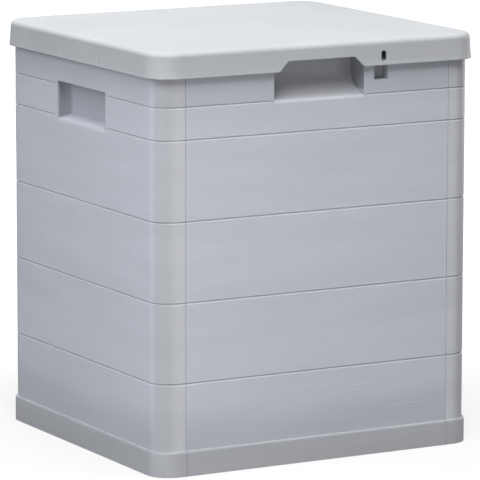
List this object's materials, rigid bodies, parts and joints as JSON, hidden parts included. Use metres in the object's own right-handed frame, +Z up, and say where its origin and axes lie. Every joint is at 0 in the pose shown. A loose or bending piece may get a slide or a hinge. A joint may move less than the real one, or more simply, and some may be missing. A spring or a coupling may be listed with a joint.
{
  "type": "garden storage box",
  "caption": "Upright garden storage box with board-grooved walls, carrying pockets, and a hinged flat lid with a finger cut-out and a padlock slot.",
  "frame": {"origin": "on the floor, under the middle of the box's overall outline, hinges included", "axes": "+X to the right along the front, +Y to the back, +Z up; the front faces -Y"},
  "size_m": [0.4402, 0.4222, 0.5],
  "materials": {
    "panel_resin": "light cool grey moulded resin, faint wood grain on the boards, smooth corner posts and plinth",
    "lid_resin": "light cool grey moulded resin, fine even texture",
    "floor_resin": "light cool grey moulded resin, plain",
    "pin_resin": "light grey moulded resin, smooth"
  },
  "bodies": {
    "box": {"front_panel": "panel_resin", "rear_panel": "panel_resin", "left_side_panel": "panel_resin", "right_side_panel": "panel_resin", "floor_panel": "floor_resin", "left_hinge_pin": "pin_resin", "right_hinge_pin": "pin_resin"},
    "lid": {"lid": "lid_resin"}
  },
  "joints": [
    {"name": "lid_hinge", "type": "hinge", "parent": "box", "child": "lid", "pos_m": [0, 0.20355, 0.4635], "axis": [-1, 0, 0], "range_deg": [0, 95]}
  ]
}
